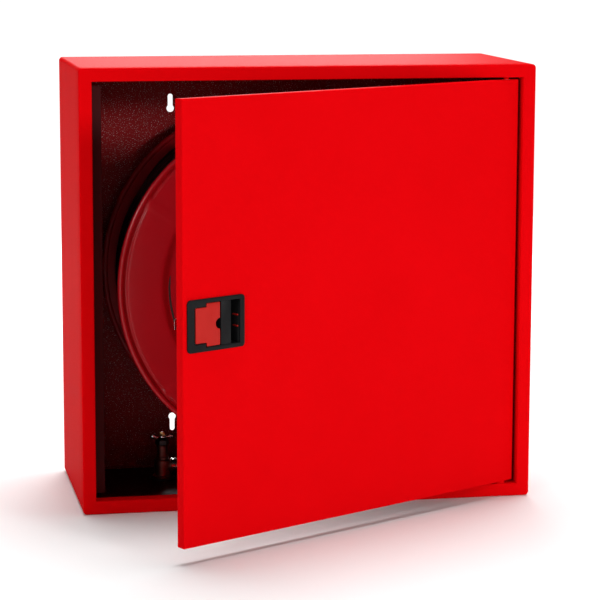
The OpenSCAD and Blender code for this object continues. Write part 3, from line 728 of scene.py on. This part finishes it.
def winding(a0, a1, r0, r1, d0, d1, step=5):
    """Points round the reel that ease from one radius and depth to another."""
    n = max(int(abs(a1 - a0) / step), 2)
    return [reel_point(a0 + (a1 - a0) * i / n, r0 + (r1 - r0) * smooth_step(i / n),
                       d0 + (d1 - d0) * smooth_step(i / n)) for i in range(n)]


def wound_path():
    """The hose from the hub's outlet through four layers of turns."""
    turn = on_reel(LEAD_A)
    lead_u = LEAD_R - LEAD_BEND
    path = [tuple(turn @ Vector((u, -OUT_D, -LEAD_BEND))) for u in (32, 50, 70)]
    path += [tuple(turn @ Vector((lead_u + LEAD_BEND * math.sin(math.radians(t)), -OUT_D,
                                  -LEAD_BEND * math.cos(math.radians(t)))))
             for t in range(0, 90, 6)]
    a, d, sign = LEAD_A + 60, TURN_D0 + PITCH / 2, 1
    path += winding(LEAD_A, a, LEAD_R, LEAD_R, OUT_D, d)
    for r, count in ((LEAD_R, TURNS - 1), (LEAD_R + LAYER, TURNS),
                     (LEAD_R + 2 * LAYER, TURNS - 1), (TURN_R, TURNS)):
        for i in range(count):
            last = i == count - 1
            cross = a + LEVEL_PART
            path += winding(a, cross, r, r, d, d)
            a += 360
            if last and r < TURN_R:
                path += winding(cross, a, r, r + LAYER, d, d + sign * PITCH / 2)
                d += sign * PITCH / 2
            elif not last:
                path += winding(cross, a, r, r, d, d + sign * PITCH)
                d += sign * PITCH
        sign = -sign
    return path + winding(a - 50, a, TURN_R, TURN_R - 16, d, d)


def tail_path():
    """The free end, which climbs over the outer turns to the nozzle."""
    turn = on_reel(TAIL_A)
    start = [reel_point(TAIL_A - 204 + 4 * i, TURN_R - 1.4 + 1.4 * smooth_step(i / 6), TAIL_D)
             for i in range(6)]
    climb = [tuple(turn @ Vector((x, -TAIL_D, z)))
             for x, z in arc(RAMP_OFF, 0, RAMP_R, -180, 0, 36)]
    return start + climb + [tuple(turn @ Vector((TAIL_R, -TAIL_D, z))) for z in (6, 12, 18)]


def make_hose():
    verts, faces = join_parts([tube(wound_path(), TUBE_R), tube(tail_path(), TUBE_R, 20)])
    finish_piece(new_piece("wound_hose", verts, faces), "reel", RUBBER, "hose",
                 slot="hose_rubber")


def make_nozzle():
    stand = on_reel(TAIL_A) @ Matrix.Translation((TAIL_R, -TAIL_D, 0))
    ferrule = [(13, 4), (14.2, 4), (15, 4.8)]
    for i in range(4):
        z = 6.5 + 5.6 * i
        ferrule += [(15, z), (14.2, z + 0.7), (14.2, z + 1.5), (15, z + 2.2)]
    ferrule += [(15, 29), (14, 30), (12.5, 30.6), (12.5, 43.4), (11.9, 44), (9, 44), (9, 87.4),
                (8.4, 88), (5, 88), (5, 18), (13, 18)]
    body = new_piece("nozzle_shank", *revolve(ferrule, 64), matrix=stand, angle=40)
    finish_piece(body, "reel", BRASS, "nozzle_body", slot="brass")
    rows = [(12.4, 45), (13, 45.6)]
    for i in range(3):
        z = 50 + 12 * i
        rows += [(13, z - 0.8), (13.5, z), (13.5, z + 6), (13, z + 6.8)]
    rows += [(13, 86), (12.2, 88), (10.4, 90), (6, 90), (6, 88.5), (9.06, 88.5), (9.06, 45)]
    segs, flutes, knurl = 96, 24, 0.45
    verts = []
    for k in range(segs):
        dip = knurl * (0.5 - 0.5 * math.cos(flutes * (2 * math.pi * k / segs)))
        verts += [ring_point(r - (dip if r > 13.4 else 0), k, segs, z) for r, z in rows]
    faces = grid_faces(segs, len(rows), close_rows=True, close_cols=True)
    sleeve = new_piece("nozzle_grip", verts, faces, matrix=stand, angle=50)
    finish_piece(sleeve, "nozzle", BLACK, "nozzle_sleeve", slot="black_plastic")


# ---------------------------------------------------------------- valve
def make_body(up, along):
    """The cast body with its side branch."""
    base = CASE_LO.z - VALVE_Z
    stack = [(12.1, base), (15.2, base), (15.9, base + 0.7), (15.9, -14.6), (15.3, -14),
             (13.4, -13.4), (13, -12.6), (13, 9.5)] + arc(10.5, 9.5, 2.5, 0, 90, 4)
    stack += [(10, 12.4), (10, 15.4), (9, 16.4), (9, 32.6), (8.4, 34.6), (7, 36), (STEM_R, 36),
              (STEM_R, 9), (9, 8), (9, -8), (6, -9), (6, base + 11), (12.1, base + 11)]
    branch = [(6, 8), (9.6, 8), (10, 8.6), (10, 34), (9.4, 34), (9.4, 49.4), (8.8, 50), (6, 50)]
    verts, faces = join_parts([(*revolve(stack, 64), up), (*revolve(branch, 48), along)])
    body = new_piece("valve_casting", verts, faces, angle=40)
    finish_piece(body, "cabinet", NICKEL_SHADE_AND_REFLECTION, "valve_body", slot="nickel")


def make_union(along):
    """Union nut on the branch, with four rounded ribs."""
    nut = [(10, 13), (11, 13), (11.5, 13.5)]
    for i in range(4):
        z = 14 + 5.2 * i
        nut += [(11.5, z), (12.5, z + 0.35), (13, z + 0.9), (13, z + 1.9), (12.5, z + 2.45),
                (11.5, z + 2.8)]
    nut += [(11.5, 33.5), (11, 34), (10, 34)]
    union = new_piece("union_ring", *revolve(nut, 64), matrix=along, angle=40)
    finish_piece(union, "cabinet", UNION, "union_nut", slot="zinc_steel")


def make_gland(up):
    """Hexagon nut with chamfered ends round the stem."""
    verts, segs = [], 72
    flat = NUT_CORNER * math.cos(math.pi / 6)
    rows = ((flat, 36), (NUT_CORNER, 37), (NUT_CORNER, 43), (flat, 44))
    for k in range(segs):
        wave = ((2 * math.pi * k / segs) % (math.pi / 3)) - math.pi / 6
        hex_r = flat / math.cos(wave)
        ring = [(min(hex_r, r), z) for r, z in rows] + [(STEM_R, 44), (STEM_R, 36)]
        verts += [ring_point(r, k, segs, z) for r, z in ring]
    faces = grid_faces(segs, len(rows) + 2, close_rows=True, close_cols=True)
    gland = new_piece("gland_hex", verts, faces, matrix=up, angle=25)
    finish_piece(gland, "cabinet", NUT_PAINTED_SHADE, "gland_nut", slot="zinc_steel")


def make_handle(up):
    """Butterfly handle: two lobes on a bar, with a hub round the stem."""
    rings, sides = [], WING_SIDES
    for i in range(WING_STEPS + 1):
        x = -WING_HALF + 2 * WING_HALF * i / WING_STEPS
        t = abs(x) / WING_HALF
        lobe = max(0.0, 1 - ((abs(x) - 13.4) / 5.6) ** 2) ** 0.5 if abs(x) > 9 else 0
        half = max(2.4 * (1 - t ** 6), 4.2 * lobe * smooth_step((abs(x) - 8) / 5), WING_THIN)
        thick = max(2.4 * (1 - t ** 8) ** 0.5, WING_THIN)
        mid = 47.8 + 1.4 * smooth_step((abs(x) - 4) / 10)
        for k in range(sides):
            a = 2 * math.pi * k / sides
            rings.append((x, thick * math.cos(a), mid + half * math.sin(a)))
    faces = grid_faces(WING_STEPS + 1, sides, close_cols=True)
    faces += [tuple(range(sides))[::-1],
              tuple(range(WING_STEPS * sides, (WING_STEPS + 1) * sides))]
    hub = [(STEM_R, 44.3), (6.2, 44.3), (7, 45.1), (7, 50)] + arc(6, 50, 1, 0, 90, 3)
    hub += [(STEM_R, 51)]
    verts, faces = join_parts([(rings, faces, up), (*revolve(hub, 48), up)])
    wings = new_piece("butterfly_handle", verts, faces, angle=60)
    finish_piece(wings, "valve", CHROME, "wing_handle", slot="chrome")


def make_valve():
    up = Matrix.Translation((VALVE_X, VALVE_Y, VALVE_Z))
    along = up @ Matrix.Rotation(math.pi / 2, 4, "Y")
    make_body(up, along)
    make_union(along)
    make_gland(up)
    make_handle(up)


# ---------------------------------------------------------------- CAD nodes that stay
# the strike lip gets the inside coat as painted shade; the hinge washer takes the red paint
SHADED_NODES = {"strike_lip": INSIDE_SHADE, "hinge_washer": RED}
SOFT_EDGES = {                    # rounding in mm
    "lock_housing": 0.5, "hub_cap": 1.2, "axle_nut": 0.8, "bracket_bolts": 0.5, "tie_bolts": 0.5,
    "reel_bracket": 0.5, "stem_nut": 0.6, "strike_lip": 0.3, "door_stiffener": 0.4,
    "latch_bolt": 0.4, "hinge_pin_top": 0.4, "hinge_pin_bottom": 0.4, "lock_screws": 0.4,
    "inlet_elbow": 0.6, "reel_hub": 0.4, "hinge_washer": 0.3, "thrust_washer": 0.4,
    "floor_grommet": 0.5,
}


def soften_edges(ob, width):
    weld = ob.modifiers.new("weld", "WELD")
    weld.merge_threshold = 0.00001
    bevel = ob.modifiers.new("soft_edges", "BEVEL")
    bevel.width = width * MM
    bevel.segments = 2
    bevel.limit_method = "ANGLE"
    bevel.angle_limit = math.radians(38)
    bevel.use_clamp_overlap = True
    bevel.harden_normals = True


def dress_nodes():
    """Every CAD node gets its material and smooth faces, and some get softened edges."""
    slots = {s["node"]: s["material_slot"] for s in frame["record"]["subparts"]}
    for name, ob in NODES.items():
        mat = SHADED_NODES.get(name) or SLOT_MATERIAL[slots[name]]
        if not ob.data.materials:
            ob.data.materials.append(mat)
        for material_slot in ob.material_slots:
            material_slot.material = mat
        smooth_by_angle(ob.data, 40)
        if name in SOFT_EDGES:
            soften_edges(ob, SOFT_EDGES[name])


make_camera()
make_stage()
dress_nodes()
make_case()
make_back_panel()
make_door()
make_lock()
make_discs()
make_hose()
make_nozzle()
make_valve()
